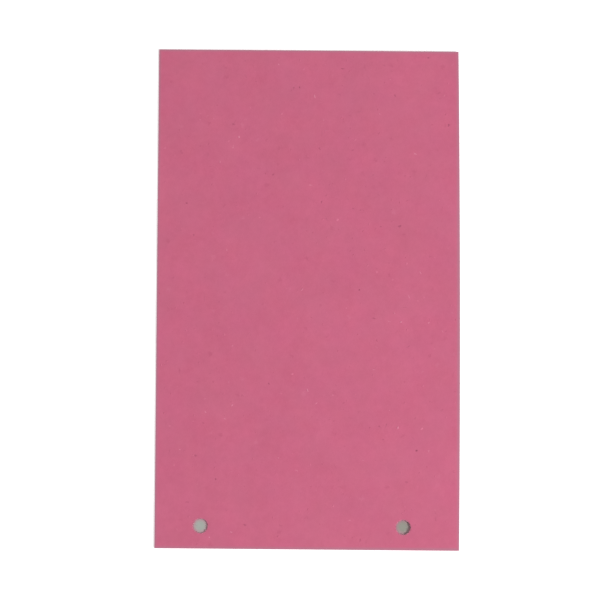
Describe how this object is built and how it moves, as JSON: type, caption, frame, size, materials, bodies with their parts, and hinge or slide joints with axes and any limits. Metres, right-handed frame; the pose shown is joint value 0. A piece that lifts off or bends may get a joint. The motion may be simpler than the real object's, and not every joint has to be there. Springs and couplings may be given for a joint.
{
  "type": "punched divider card",
  "caption": "Flat rectangular divider sheet of dyed card with filing holes punched along one short edge.",
  "frame": {"origin": "centre of the underside, which rests on the table", "axes": "+X along the short edge with the wider hole margin on its side, +Y away from the punched edge, +Z out of the upper face"},
  "size_m": [0.12, 0.2, 0.0004],
  "materials": {
    "dyed_card": "matt, uncoated, dyed through"
  },
  "bodies": {
    "root": {"divider_card": "dyed_card"}
  },
  "joints": []
}
